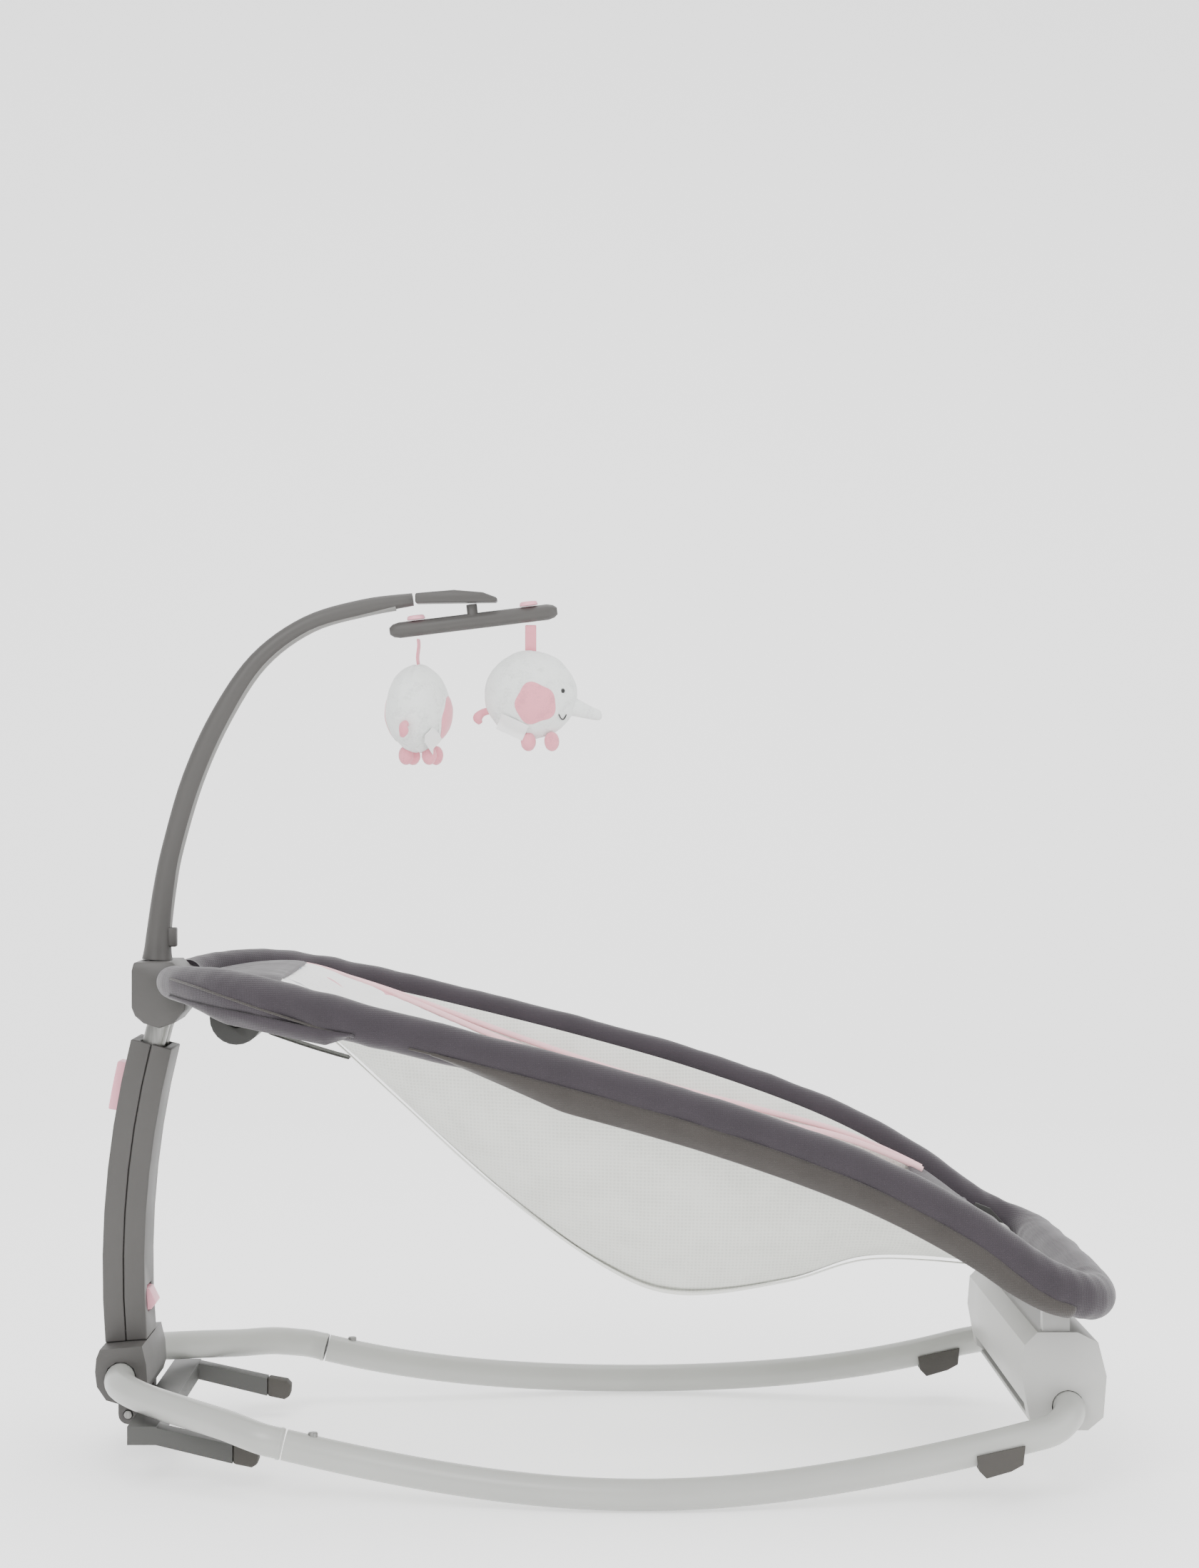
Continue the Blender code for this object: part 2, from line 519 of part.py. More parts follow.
# ------------------------------------------------------------------ toy arch
def make_arch():
    path = smooth_path(ARCH_PATH, 3)
    arch = tube("toy_arch", [p[:3] for p in path], 0.01, LEG_GREY, 3, True, [p[3] for p in path])
    boolean(arch, block("latch_pocket", (-0.3680, -0.0054, 0.4135), (-0.3500, 0.0054, 0.4305), STEEL))
    block("arch_latch", (-0.3645, -0.0050, 0.4140), (-0.3560, 0.0050, 0.4300), LEG_GREY, 0.0012)
    block("arch_plug", (-0.3790, -0.0070, 0.3785), (-0.3650, 0.0070, 0.4031), LEG_GREY, 0.0010)
    head = [(-0.1580, 0.6985), (-0.0905, 0.6995), (-0.0900, 0.7030), (-0.1020, 0.7075),
            (-0.1260, 0.7095), (-0.1580, 0.7068)]
    plate("arch_head", head, -0.0110, 0.0110, LEG_GREY, 0.0015)


def bar_point(reach, rise):
    """A point on the toy bar's own tilted axes."""
    return (SPIN_X + reach * cos(BAR_TILT) - rise * sin(BAR_TILT), 0.0,
            SPIN_Z + reach * sin(BAR_TILT) + rise * cos(BAR_TILT))


def make_toy_bar():
    ends = [-BAR_HALF, -BAR_HALF + 0.003, -BAR_HALF + 0.008, 0.0, BAR_HALF - 0.008, BAR_HALF - 0.003, BAR_HALF]
    radii = [0.0030, 0.0055, BAR_R, BAR_R, BAR_R, 0.0055, 0.0030]
    bar = tube("toy_bar", [bar_point(e, 0.0) for e in ends], BAR_R, LEG_GREY, 3, True, radii)
    boolean(bar, rod("bar_stem", bar_point(0.0, 0.0), bar_point(0.0, 0.0140), 0.0045, LEG_GREY, 12), "UNION")
    for label, reach in (("foot", TOY_REACH), ("head", -TOY_REACH)):
        rod("toy_knob_" + label, bar_point(reach, BAR_R + GAP), bar_point(reach, BAR_R + 0.0038), 0.0080,
            PINK, 14, 0.0070)


def make_toy(label, reach, half_x, half_y, half_z):
    """A plush toy on a ribbon under one end of the toy bar."""
    x, y, z = bar_point(reach, -BAR_R)
    length = 0.024
    half_w, half_t = (0.0045, 0.0008) if label == "foot" else (0.0008, 0.0045)
    ribbon = block("toy_ribbon_" + label, (x - half_w, -half_t, z - length - 0.006),
                   (x + half_w, half_t, z - 0.0022), PINK)
    work = bmesh.new()
    bmesh.ops.create_uvsphere(work, u_segments=14, v_segments=9, radius=1.0)
    shape = Matrix.Diagonal((half_x, half_y, half_z, 1.0))
    place = Matrix.Translation((x, 0.0, z - length - half_z))
    bmesh.ops.transform(work, matrix=place @ shape, verts=work.verts)
    mesh = bpy.data.meshes.new("plush_toy_" + label)
    work.to_mesh(mesh)
    work.free()
    boolean(link("plush_toy_" + label, mesh, PLUSH), ribbon, "UNION")


# ------------------------------------------------------------------ assembly
for label, side in SIDES:
    make_rockers(label, side)
    make_front_pad(label, side)
    make_rail(label, side)
make_leg()
make_leg_foot()
make_hub()
make_front_housing()
make_kickstand()
make_foot_tube()
make_soft_goods()
make_vibration_unit()
make_arch()
make_toy_bar()
make_toy("foot", TOY_REACH, 0.037, 0.026, 0.036)
make_toy("head", -TOY_REACH, 0.022, 0.037, 0.036)
for item in list(parts.objects) + list(cutters.objects):
    item.data.transform(Matrix.Translation((CENTRE_X, 0.0, 0.0)))
for item in parts.objects:
    item.data.shade_smooth()
    item.data.set_sharp_from_angle(angle=radians(35))
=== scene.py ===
# %% [markdown]
# # A baby rocker, from plain solids to finished materials
# The frame of the rocker is already made: every tube, casting, hinge and button is a solid with a
# name. This lesson gives those solids rounded edges and real finishes, and makes the cloth, the
# padding and the two plush toys.

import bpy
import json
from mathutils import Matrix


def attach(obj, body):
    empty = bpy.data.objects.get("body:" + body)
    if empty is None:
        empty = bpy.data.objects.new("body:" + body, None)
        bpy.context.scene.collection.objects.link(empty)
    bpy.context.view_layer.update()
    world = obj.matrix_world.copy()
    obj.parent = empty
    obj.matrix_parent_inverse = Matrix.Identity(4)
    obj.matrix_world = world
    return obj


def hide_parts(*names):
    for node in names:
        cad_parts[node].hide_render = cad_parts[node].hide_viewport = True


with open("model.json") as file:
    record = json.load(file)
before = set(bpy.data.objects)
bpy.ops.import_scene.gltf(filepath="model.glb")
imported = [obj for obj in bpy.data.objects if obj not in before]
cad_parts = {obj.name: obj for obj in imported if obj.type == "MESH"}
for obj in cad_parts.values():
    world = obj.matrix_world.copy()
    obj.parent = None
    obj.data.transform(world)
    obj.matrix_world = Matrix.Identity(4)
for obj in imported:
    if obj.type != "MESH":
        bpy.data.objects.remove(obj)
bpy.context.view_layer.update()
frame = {"nodes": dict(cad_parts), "record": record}

import json
from math import atan2, cos, exp, pi, radians, sin, sqrt

import bpy
from mathutils import Matrix, Vector, noise

# %% [markdown]
# ## Camera, floor and light
# The rocker is seen square from its right-hand side, from a little over two metres away and at the
# height of a kneeling parent. A long lens keeps the near and far rockers close together in size.
# The floor is a pale sweep that glows faintly, and three large soft lamps leave no hard shadow.

# %% Camera
camera_data = bpy.data.cameras.new("side_camera")
camera_data.lens = 66.94
camera_data.sensor_width = 36.0
camera_data.shift_x = 0.0127
camera_data.shift_y = 0.0007
camera = bpy.data.objects.new("side_camera", camera_data)
camera.location = (-0.01225, -2.419, 0.548)
camera.rotation_euler = (radians(90), 0, 0)
bpy.context.scene.collection.objects.link(camera)
bpy.context.scene.camera = camera

# %% [markdown]
# ## Small helpers
# An operator acts on everything selected, and the loaded frame is selected, so each helper clears
# the selection first. A finished piece has its place in its mesh and its object at the origin.

# %% Helpers for pieces
def only(item):
    """Select one object and make it active."""
    bpy.ops.object.select_all(action="DESELECT")
    item.select_set(True)
    bpy.context.view_layer.objects.active = item


def settle(item, name, material, angle=40):
    """Name a new piece, put its place into its mesh, shade it and give it its finish."""
    only(item)
    item.name = name
    bpy.ops.object.transform_apply(location=True, rotation=True, scale=True)
    bpy.ops.object.shade_smooth_by_angle(angle=radians(angle))
    item.data.materials.clear()
    item.data.materials.append(material)
    return item


def outward(item):
    """Merge doubled points and turn all faces outwards."""
    only(item)
    bpy.ops.object.mode_set(mode="EDIT")
    bpy.ops.mesh.select_all(action="SELECT")
    bpy.ops.mesh.remove_doubles(threshold=0.00002)
    bpy.ops.mesh.normals_make_consistent(inside=False)
    bpy.ops.object.mode_set(mode="OBJECT")


def apply_all(item):
    """Apply every modifier of a piece, in order."""
    only(item)
    for step in list(item.modifiers):
        bpy.ops.object.modifier_apply(modifier=step.name)


def add_modifier(item, kind, **settings):
    step = item.modifiers.new(kind.lower(), kind)
    for key, value in settings.items():
        setattr(step, key, value)
    return step


def smooth_path(points, steps):
    """Points along a smooth curve through the given ones."""
    ends = [points[0]] + list(points) + [points[-1]]
    path = []
    for i in range(1, len(ends) - 2):
        for k in range(steps):
            t = k / steps
            path.append(tuple(0.5 * (2 * b + (c - a) * t + (2 * a - 5 * b + 4 * c - d) * t ** 2
                                     + (3 * b - a - 3 * c + d) * t ** 3)
                              for a, b, c, d in zip(*ends[i - 1:i + 3])))
    return path + [tuple(points[-1])]


def bent_tube(name, points, radius, material, radii=None, sides=8):
    """A tube drawn as a curve with a round bevel, then turned into a mesh."""
    bpy.ops.object.select_all(action="DESELECT")
    bpy.ops.curve.primitive_nurbs_path_add(location=(0, 0, 0))
    item = bpy.context.object
    curve = item.data
    curve.splines.clear()
    spline = curve.splines.new("POLY")
    spline.points.add(len(points) - 1)
    for i, point in enumerate(points):
        spline.points[i].co = (*point[:3], 1.0)
        spline.points[i].radius = radii[i] / radius if radii else 1.0
    curve.bevel_depth = radius
    curve.bevel_resolution = sides
    curve.use_fill_caps = True
    bpy.ops.object.convert(target="MESH")
    item = bpy.context.object
    outward(item)
    return settle(item, name, material)


def finer(node, material, round_by=0.0012, name=None):
    """A copy of a frame node with merged faces, rounded edges and a finish; it replaces the node."""
    source = frame["nodes"][node]
    item = bpy.data.objects.new(name or node + "_finish", source.data.copy())
    bpy.context.scene.collection.objects.link(item)
    outward(item)
    bpy.ops.object.mode_set(mode="EDIT")
    bpy.ops.mesh.select_all(action="SELECT")
    bpy.ops.mesh.dissolve_limited(angle_limit=radians(0.6))
    bpy.ops.object.mode_set(mode="OBJECT")
    if round_by:
        add_modifier(item, "BEVEL", width=round_by, segments=3, limit_method="ANGLE",
                     angle_limit=radians(38), use_clamp_overlap=True, harden_normals=False)
        apply_all(item)
    settle(item, item.name, material)
    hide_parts(node)
    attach(item, body_of(node))
    return item


def body_of(node):
    """The frame body that a node belongs to."""
    for body, nodes in frame["record"]["behaviour"]["bodies"].items():
        if node in nodes:
            return body
    raise ValueError(node)


CENTRE_X = 0.00975      # the lines are laid out from a point this far behind the frame's origin


def hand_over(item, body, slot, *nodes):
    """Move a drawn piece into the frame, let it ride on a body, and stand for frame nodes."""
    item.data.transform(Matrix.Translation((CENTRE_X, 0, 0)))
    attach(item, body)
    if nodes:
        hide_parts(*nodes)
    return item

# %% [markdown]
# ## Finishes
# Every finish is a small node graph on Object coordinates, so it stays fixed to its piece. Moulded
# plastic gets a fine spark-eroded grain, paint gets a faint orange peel, and cloth gets two crossed
# sets of threads that drive both its colour and its bump.

# %% Node helpers
def new_material(name, colour, roughness, metallic=0.0):
    material = bpy.data.materials.new(name)
    material.use_nodes = True
    shader = material.node_tree.nodes["Principled BSDF"]
    shader.inputs["Base Color"].default_value = (*colour, 1)
    shader.inputs["Roughness"].default_value = roughness
    shader.inputs["Metallic"].default_value = metallic
    return material, material.node_tree, shader


def node(tree, kind, **values):
    """Add a node and set its inputs by name."""
    item = tree.nodes.new(kind)
    for key, value in values.items():
        item.inputs[key.replace("_", " ")].default_value = value
    return item


def object_coords(tree, stretch=(1, 1, 1), turn=(0, 0, 0)):
    coords = tree.nodes.new("ShaderNodeTexCoord")
    mapping = tree.nodes.new("ShaderNodeMapping")
    mapping.inputs["Scale"].default_value = stretch
    mapping.inputs["Rotation"].default_value = turn
    tree.links.new(coords.outputs["Object"], mapping.inputs["Vector"])
    return mapping.outputs["Vector"]


def ramp(tree, source, dark, light, low=0.35, high=0.65):
    """Turn a grey value into a blend of two colours."""
    item = tree.nodes.new("ShaderNodeValToRGB")
    item.color_ramp.elements[0].position = low
    item.color_ramp.elements[0].color = (*dark, 1)
    item.color_ramp.elements[1].position = high
    item.color_ramp.elements[1].color = (*light, 1)
    tree.links.new(source, item.inputs["Fac"])
    return item.outputs["Color"]


def add_bump(tree, shader, source, strength, distance):
    bump = node(tree, "ShaderNodeBump", Strength=strength, Distance=distance)
    tree.links.new(source, bump.inputs["Height"])
    tree.links.new(bump.outputs["Normal"], shader.inputs["Normal"])


def shades(colour, spread):
    return tuple(c * (1 - spread) for c in colour), tuple(min(1, c * (1 + spread)) for c in colour)


def plastic(name, colour, roughness, grain=900, depth=0.00012, spread=0.05):
    """Moulded plastic: a fine grain, slightly cloudy gloss and a little dust in the colour."""
    material, tree, shader = new_material(name, colour, roughness)
    place = object_coords(tree)
    cloud = node(tree, "ShaderNodeTexNoise", Scale=14, Detail=4)
    tree.links.new(place, cloud.inputs["Vector"])
    tree.links.new(ramp(tree, cloud.outputs["Fac"], *shades(colour, spread)), shader.inputs["Base Color"])
    gloss = node(tree, "ShaderNodeMapRange", From_Min=0.3, From_Max=0.7, To_Min=roughness - 0.05,
                 To_Max=roughness + 0.08)
    tree.links.new(cloud.outputs["Fac"], gloss.inputs["Value"])
    tree.links.new(gloss.outputs["Result"], shader.inputs["Roughness"])
    pits = node(tree, "ShaderNodeTexNoise", Scale=grain, Detail=2)
    tree.links.new(place, pits.inputs["Vector"])
    add_bump(tree, shader, pits.outputs["Fac"], 0.5, depth)
    return material


def painted(name, colour, roughness):
    """Powder-coated tube: a soft orange peel under a satin coat."""
    material = plastic(name, colour, roughness, grain=260, depth=0.00010, spread=0.025)
    shader = material.node_tree.nodes["Principled BSDF"]
    shader.inputs["Coat Weight"].default_value = 0.35
    shader.inputs["Coat Roughness"].default_value = 0.25
    return material


def metal(name, colour, roughness):
    """Drawn steel: fine lines along the tube."""
    material, tree, shader = new_material(name, colour, roughness, 0.85)
    place = object_coords(tree, (900, 900, 20))
    lines = node(tree, "ShaderNodeTexNoise", Scale=1, Detail=3)
    tree.links.new(place, lines.inputs["Vector"])
    tree.links.new(ramp(tree, lines.outputs["Fac"], *shades(colour, 0.12)), shader.inputs["Base Color"])
    add_bump(tree, shader, lines.outputs["Fac"], 0.3, 0.00004)
    return material


def woven(name, colour, pitch=0.0016, depth=0.00035, spread=0.16, sheen=0.3, alpha=1.0):
    """Cloth: two crossed sets of threads over slow, uneven dye."""
    material, tree, shader = new_material(name, colour, 0.88)
    threads = []
    for turn in ((0, 0, 0), (0, radians(90), 0)):
        wave = node(tree, "ShaderNodeTexWave", Scale=1.0 / pitch / 6.28 * 2, Distortion=0.8, Detail=1.5)
        wave.bands_direction = "X"
        tree.links.new(object_coords(tree, (1, 1, 1), turn), wave.inputs["Vector"])
        threads.append(wave.outputs["Fac"])
    cross = tree.nodes.new("ShaderNodeMath")
    cross.operation = "MAXIMUM"
    tree.links.new(threads[0], cross.inputs[0])
    tree.links.new(threads[1], cross.inputs[1])
    dye = node(tree, "ShaderNodeTexNoise", Scale=32, Detail=6)
    tree.links.new(object_coords(tree), dye.inputs["Vector"])
    blend = tree.nodes.new("ShaderNodeMath")
    blend.operation = "MULTIPLY_ADD"
    tree.links.new(cross.outputs["Value"], blend.inputs[0])
    blend.inputs[1].default_value = 0.5
    tree.links.new(dye.outputs["Fac"], blend.inputs[2])
    tree.links.new(ramp(tree, blend.outputs["Value"], *shades(colour, spread), 0.4, 1.05),
                   shader.inputs["Base Color"])
    add_bump(tree, shader, cross.outputs["Value"], 0.55, depth)
    shader.inputs["Sheen Weight"].default_value = sheen
    shader.inputs["Sheen Roughness"].default_value = 0.45
    shader.inputs["Alpha"].default_value = alpha
    return material

# %% The finishes of this rocker
TUBE_WHITE = painted("tube_white", (0.38, 0.385, 0.365), 0.38)
SHELL_WHITE = plastic("shell_white", (0.42, 0.42, 0.405), 0.42)
LEG_GREY = plastic("leg_grey", (0.062, 0.059, 0.056), 0.50)
ARCH_STRIP = plastic("arch_strip", (0.21, 0.21, 0.20), 0.42)
STEEL = metal("inner_steel", (0.24, 0.24, 0.23), 0.34)
RUBBER = plastic("pad_rubber", (0.052, 0.048, 0.043), 0.75, grain=500, depth=0.0002)
STAND_GREY = plastic("stand_grey", (0.055, 0.055, 0.052), 0.50)
PINK = plastic("button_pink", (0.84, 0.38, 0.46), 0.36, grain=1400, depth=0.00005, spread=0.03)
BLACK = plastic("unit_black", (0.021, 0.021, 0.019), 0.48)
RAIL_CLOTH = woven("rail_cloth", (0.026, 0.020, 0.026), 0.0014)
PANEL_CLOTH = woven("panel_cloth", (0.036, 0.031, 0.028), 0.0014)
MESH_CLOTH = woven("mesh_cloth", (0.74, 0.75, 0.70), 0.0030, 0.0006, 0.10, 0.15, alpha=0.90)
HEM_CLOTH = woven("hem_cloth", (0.78, 0.785, 0.74), 0.0016, 0.0003, 0.05, 0.15)
PIPING_PINK = woven("piping_pink", (0.86, 0.52, 0.55), 0.0010, 0.0002, 0.06)
RIBBON_PINK = woven("ribbon_pink", (0.75, 0.27, 0.33), 0.0008, 0.00015, 0.06)
WEBBING = woven("webbing", (0.030, 0.030, 0.028), 0.0018, 0.0004, 0.2)
STRAP_GREY = woven("strap_grey", (0.36, 0.36, 0.35), 0.0018, 0.0004, 0.12)
EYE_BLACK = plastic("eye_black", (0.012, 0.012, 0.012), 0.25, grain=1500, depth=0.00002)
TAG_WHITE = woven("tag_white", (0.86, 0.86, 0.85), 0.0007, 0.0001, 0.03)
print(len(bpy.data.materials), "finishes")

# %% Printed liner, plush and ear cloth
def printed(name):
    """White cotton with a scatter of small pale shapes, one in some cells of a cell pattern."""
    material = woven(name, (0.86, 0.86, 0.85), 0.0012, 0.0002, 0.05, 0.15)
    tree = material.node_tree
    shader = tree.nodes["Principled BSDF"]
    ground = shader.inputs["Base Color"].links[0].from_socket
    cells = node(tree, "ShaderNodeTexVoronoi", Scale=34, Randomness=0.85)
    cells.distance = "CHEBYCHEV"
    tree.links.new(object_coords(tree, turn=(0.5, 0.3, 0.7)), cells.inputs["Vector"])
    inside = ramp(tree, cells.outputs["Distance"], (1, 1, 1), (0, 0, 0), 0.27, 0.29)
    split = tree.nodes.new("ShaderNodeSeparateColor")
    tree.links.new(cells.outputs["Color"], split.inputs["Color"])
    dyes = tree.nodes.new("ShaderNodeValToRGB")
    dyes.color_ramp.interpolation = "CONSTANT"
    places = ((0.0, (0.86, 0.86, 0.85)), (0.52, (0.80, 0.36, 0.42)), (0.66, (0.15, 0.42, 0.62)),
              (0.78, (0.45, 0.45, 0.46)), (0.90, (0.84, 0.60, 0.62)))
    for i, (place, colour) in enumerate(places):
        stop = dyes.color_ramp.elements[i] if i < 2 else dyes.color_ramp.elements.new(place)
        stop.position = place
        stop.color = (*colour, 1)
    tree.links.new(split.outputs["Red"], dyes.inputs["Fac"])
    mix = tree.nodes.new("ShaderNodeMix")
    mix.data_type = "RGBA"
    tree.links.new(inside, mix.inputs["Factor"])
    tree.links.new(ground, mix.inputs["A"])
    tree.links.new(dyes.outputs["Color"], mix.inputs["B"])
    tree.links.new(mix.outputs["Result"], shader.inputs["Base Color"])
    return material


def pile(name, colour, tuft=520, depth=0.0012):
    """Short-pile plush: soft tufts in the bump, and a strong pale sheen."""
    material, tree, shader = new_material(name, colour, 0.95)
    tufts = node(tree, "ShaderNodeTexNoise", Scale=tuft, Detail=5, Roughness=0.7)
    tree.links.new(object_coords(tree), tufts.inputs["Vector"])
    clumps = node(tree, "ShaderNodeTexNoise", Scale=90, Detail=3)
    tree.links.new(object_coords(tree), clumps.inputs["Vector"])
    both = tree.nodes.new("ShaderNodeMath")
    both.operation = "ADD"
    tree.links.new(tufts.outputs["Fac"], both.inputs[0])
    tree.links.new(clumps.outputs["Fac"], both.inputs[1])
    tree.links.new(ramp(tree, both.outputs["Value"], *shades(colour, 0.10), 0.7, 1.3),
                   shader.inputs["Base Color"])
    add_bump(tree, shader, both.outputs["Value"], 0.8, depth)
    shader.inputs["Sheen Weight"].default_value = 0.6
    shader.inputs["Sheen Roughness"].default_value = 0.35
    return material


LINER = printed("liner_print")
PLUSH = pile("plush_white", (0.80, 0.83, 0.81))
EAR_PINK = pile("ear_pink", (0.76, 0.29, 0.35), tuft=700, depth=0.0006)

# %% Floor, sweep and lamps
def stage_sheet(name, low, high):
    """A pale floor that curves up behind the rocker."""
    bpy.ops.object.select_all(action="DESELECT")
    bpy.ops.mesh.primitive_plane_add(size=1, location=(0, 1.5, -0.0008))
    item = bpy.context.object
    item.scale = (14, 9, 1)
    bpy.ops.object.transform_apply(scale=True)
    bpy.ops.object.mode_set(mode="EDIT")
    bpy.ops.mesh.subdivide(number_cuts=40)
    bpy.ops.object.mode_set(mode="OBJECT")
    for vert in item.data.vertices:
        past = max(0.0, vert.co.y - low)
        vert.co.z += min(high, 0.9 * past ** 2)
    bpy.ops.object.shade_smooth()
    material, tree, shader = new_material(name, (0.93, 0.93, 0.93), 0.75)
    grain = node(tree, "ShaderNodeTexNoise", Scale=3, Detail=3)
    tree.links.new(object_coords(tree), grain.inputs["Vector"])
    tree.links.new(ramp(tree, grain.outputs["Fac"], (0.925, 0.925, 0.925), (0.935, 0.935, 0.935)),
                   shader.inputs["Base Color"])
    shader.inputs["Emission Color"].default_value = (1.0, 1.0, 1.0, 1)
    shader.inputs["Emission Strength"].default_value = 0.7
    item.data.materials.append(material)
    item.name = name


stage_sheet("pale_floor", 2.2, 5.0)


def soft_lamp(name, place, aim, size, power):
    lamp = bpy.data.lights.new(name, "AREA")
    lamp.shape = "DISK"
    lamp.size = size
    lamp.energy = power
    item = bpy.data.objects.new(name, lamp)
    item.location = place
    item.rotation_euler = (Vector(aim) - Vector(place)).to_track_quat("-Z", "Y").to_euler()
    bpy.context.scene.collection.objects.link(item)


soft_lamp("key_lamp", (-1.3, -2.6, 2.5), (0, 0, 0.3), 2.2, 74)
soft_lamp("fill_lamp", (2.2, -2.0, 1.4), (0, 0, 0.3), 2.4, 36)
soft_lamp("top_lamp", (0.2, 0.6, 3.0), (0, 0, 0.3), 3.0, 60)
world = bpy.data.worlds.new("soft_world")
world.use_nodes = True
world.node_tree.nodes["Background"].inputs["Color"].default_value = (1.0, 1.0, 1.0, 1)
world.node_tree.nodes["Background"].inputs["Strength"].default_value = 1.1
bpy.context.scene.world = world

# %% [markdown]
# ## Castings, shells and buttons
# The moulded pieces have the right shape already. A real mould has no knife edges, so each piece is
# copied, its loose triangles are merged into clean faces, and a small bevel rounds what is sharp.
# A copy is used, so the frame's own mesh stays as it is.

# %% Round the moulded pieces
MOULDED = {
    "front_housing": (SHELL_WHITE, 0.0022), "housing_cover": (SHELL_WHITE, 0.0),
    "front_pad": (RUBBER, 0.0030), "leg_foot": (LEG_GREY, 0.0026),
    "leg_front_shell": (LEG_GREY, 0.0012), "leg_rear_shell": (LEG_GREY, 0.0012),
    "height_button": (PINK, 0.0), "fold_button": (PINK, 0.0), "head_hub": (LEG_GREY, 0.0),
    "kickstand_frame": (STAND_GREY, 0.0016),
    "kickstand_tip": (RUBBER, 0.0), "pivot_bracket": (BLACK, 0.0006), "arch_head": (LEG_GREY, 0.0),
    "arch_latch": (LEG_GREY, 0.0), "arch_plug": (LEG_GREY, 0.0), "vibration_unit": (BLACK, 0.0018),
    "battery_door": (BLACK, 0.0008), "power_button": (LEG_GREY, 0.0008),
    "harness_buckle": (BLACK, 0.0), "toy_bar": (LEG_GREY, 0.0), "toy_knob": (PINK, 0.0010),
    "kickstand_pin": (STEEL, 0.0006), "seat_pivot_pin": (STEEL, 0.0006), "snap_button": (STEEL, 0.0012),
}
for name in frame["nodes"]:
    for family, (finish, edge) in MOULDED.items():
        if name.startswith(family):
            finer(name, finish, edge)
print("moulded pieces rounded")

# %% [markdown]
# ## Bent tubes
# The frame's tubes have ten flat sides. On the real rocker they are round, so each is drawn again
# along the same middle line as a curve with a fine round bevel, and takes the place of the old one.
# The two halves of a rocker meet in a swaged joint, which shows as a thin ring.

# %% The rockers
TUBE_R = 0.012
LOW_X, LOW_Z = 0.025, 0.0120
SWEEP_R = 1.17
JOINT_X, JOINT_Y, BOW_Y = -0.248, 0.192, 0.217


def rocker_point(x, side):
    reach = min(1.0, abs((x - LOW_X) / (JOINT_X - LOW_X)))
    y = JOINT_Y + (BOW_Y - JOINT_Y) * cos(reach * pi / 2) ** 2
    return (x, side * y, LOW_Z + SWEEP_R - sqrt(SWEEP_R ** 2 - (x - LOW_X) ** 2))


SIDES = (("right", -1), ("left", 1))
REAR_ROUTE = [(-0.3945, 0.0432, 0.0672), (-0.3940, 0.0620, 0.0671), (-0.3915, 0.0755, 0.0665),
              (-0.3850, 0.0890, 0.0652), (-0.3705, 0.1065, 0.0628), (-0.3480, 0.1270, 0.0600),
              (-0.3220, 0.1475, 0.0570), (-0.2950, 0.1710, 0.0545), (-0.2740, 0.1860, 0.0503),
              (-0.2620, 0.1920, 0.0477), (-0.2486, 0.1920, 0.0446)]
for label, side in SIDES:
    span = 0.318 - JOINT_X
    line = [rocker_point(JOINT_X + 0.0006 + span * i / 20, side) for i in range(21)]
    line += [(0.340, side * 0.1880, 0.0545), (0.3520, side * 0.1810, 0.0622), (0.3565, side * 0.170, 0.0662),
             (0.3565, side * 0.156, 0.0665)]
    tube = bent_tube("rocker_" + label, smooth_path(line, 3), TUBE_R, TUBE_WHITE)
    hand_over(tube, "base", "tube_white", "rocker_tube_" + label)
    line = [(x, side * y, z) for x, y, z in REAR_ROUTE]
    tube = bent_tube("rocker_rear_" + label, smooth_path(line, 5), TUBE_R, TUBE_WHITE)
    hand_over(tube, "base", "tube_white", "rocker_rear_tube_" + label)
    seam = [(-0.2520, side * 0.192, 0.0453), (-0.2496, side * 0.192, 0.0448)]
    hand_over(bent_tube("swage_ring_" + label, seam, TUBE_R + 0.0005, TUBE_WHITE), "base", "tube_white")
print("rockers drawn")

# %% The telescoping tubes
PIVOT = Vector((0.348, 0, 0.1515))
LEG_R = 0.7445


def on_arc(degrees, y, radius=LEG_R):
    """A point on the leg's own arc; 0 degrees is straight back from the seat pivot."""
    turn = radians(degrees)
    return (PIVOT.x - radius * cos(turn), y, PIVOT.z + radius * sin(turn))


for label, side in SIDES:
    line = [on_arc(0.6 + 16.2 * i / 24, side * 0.0125) for i in range(25)]
    tube = bent_tube("telescope_" + label, line, 0.0094, STEEL)
    hand_over(tube, "seat", "steel", "inner_tube_" + label)

# %% [markdown]
# ## The toy arch
# The arch is a tapering moulded bow with a lighter strip set into its inner edge. A curve with a
# radius at every point gives the taper. The strip follows the same line, moved towards the child.

# %% The arch and its inner strip
ARCH = [(-0.3723, 0, 0.4036, 0.0128), (-0.3719, 0, 0.4120, 0.0114), (-0.3708, 0, 0.4296, 0.0100),
        (-0.3666, 0, 0.4621, 0.0092), (-0.3600, 0, 0.4960, 0.0086), (-0.3435, 0, 0.5524, 0.0088),
        (-0.3202, 0, 0.6043, 0.0086), (-0.2891, 0, 0.6510, 0.0076), (-0.2482, 0, 0.6812, 0.0070),
        (-0.2008, 0, 0.6954, 0.0070), (-0.1602, 0, 0.7020, 0.0054)]
line = smooth_path(ARCH, 6)
arch = bent_tube("arch_bow", line, 0.010, LEG_GREY, [p[3] for p in line])
hand_over(arch, "arch", "leg_grey", "toy_arch")
TOWARDS = Vector((0.10, 0.0, 0.45))       # roughly the middle of the space under the arch
strip = []
